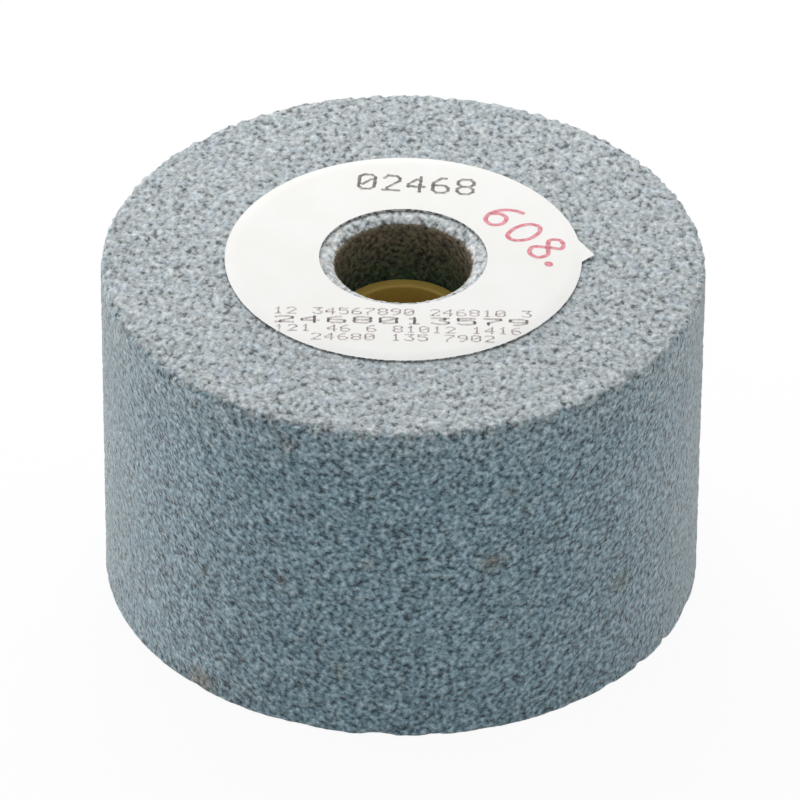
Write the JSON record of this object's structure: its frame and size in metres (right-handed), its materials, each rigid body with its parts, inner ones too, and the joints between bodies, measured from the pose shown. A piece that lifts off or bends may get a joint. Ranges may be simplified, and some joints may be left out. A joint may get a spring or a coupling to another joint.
{
  "type": "cup grinding wheel",
  "caption": "Straight cup grinding wheel of blue-grey bonded abrasive, with a round paper label on its back and a plastic reducing bush in its bore.",
  "frame": {"origin": "centre of the cup's rim plane, on the wheel's axis; the wheel stands on its rim", "axes": "+Z along the bore from the rim to the labelled back face, +X towards the label's pointed tab"},
  "size_m": [0.09, 0.09, 0.0554],
  "materials": {
    "abrasive": "matte",
    "bush_plastic": "satin",
    "label_paper": "matte"
  },
  "bodies": {
    "root": {"abrasive_cup": "abrasive", "reducing_bush": "bush_plastic", "paper_label": "label_paper"}
  },
  "joints": []
}
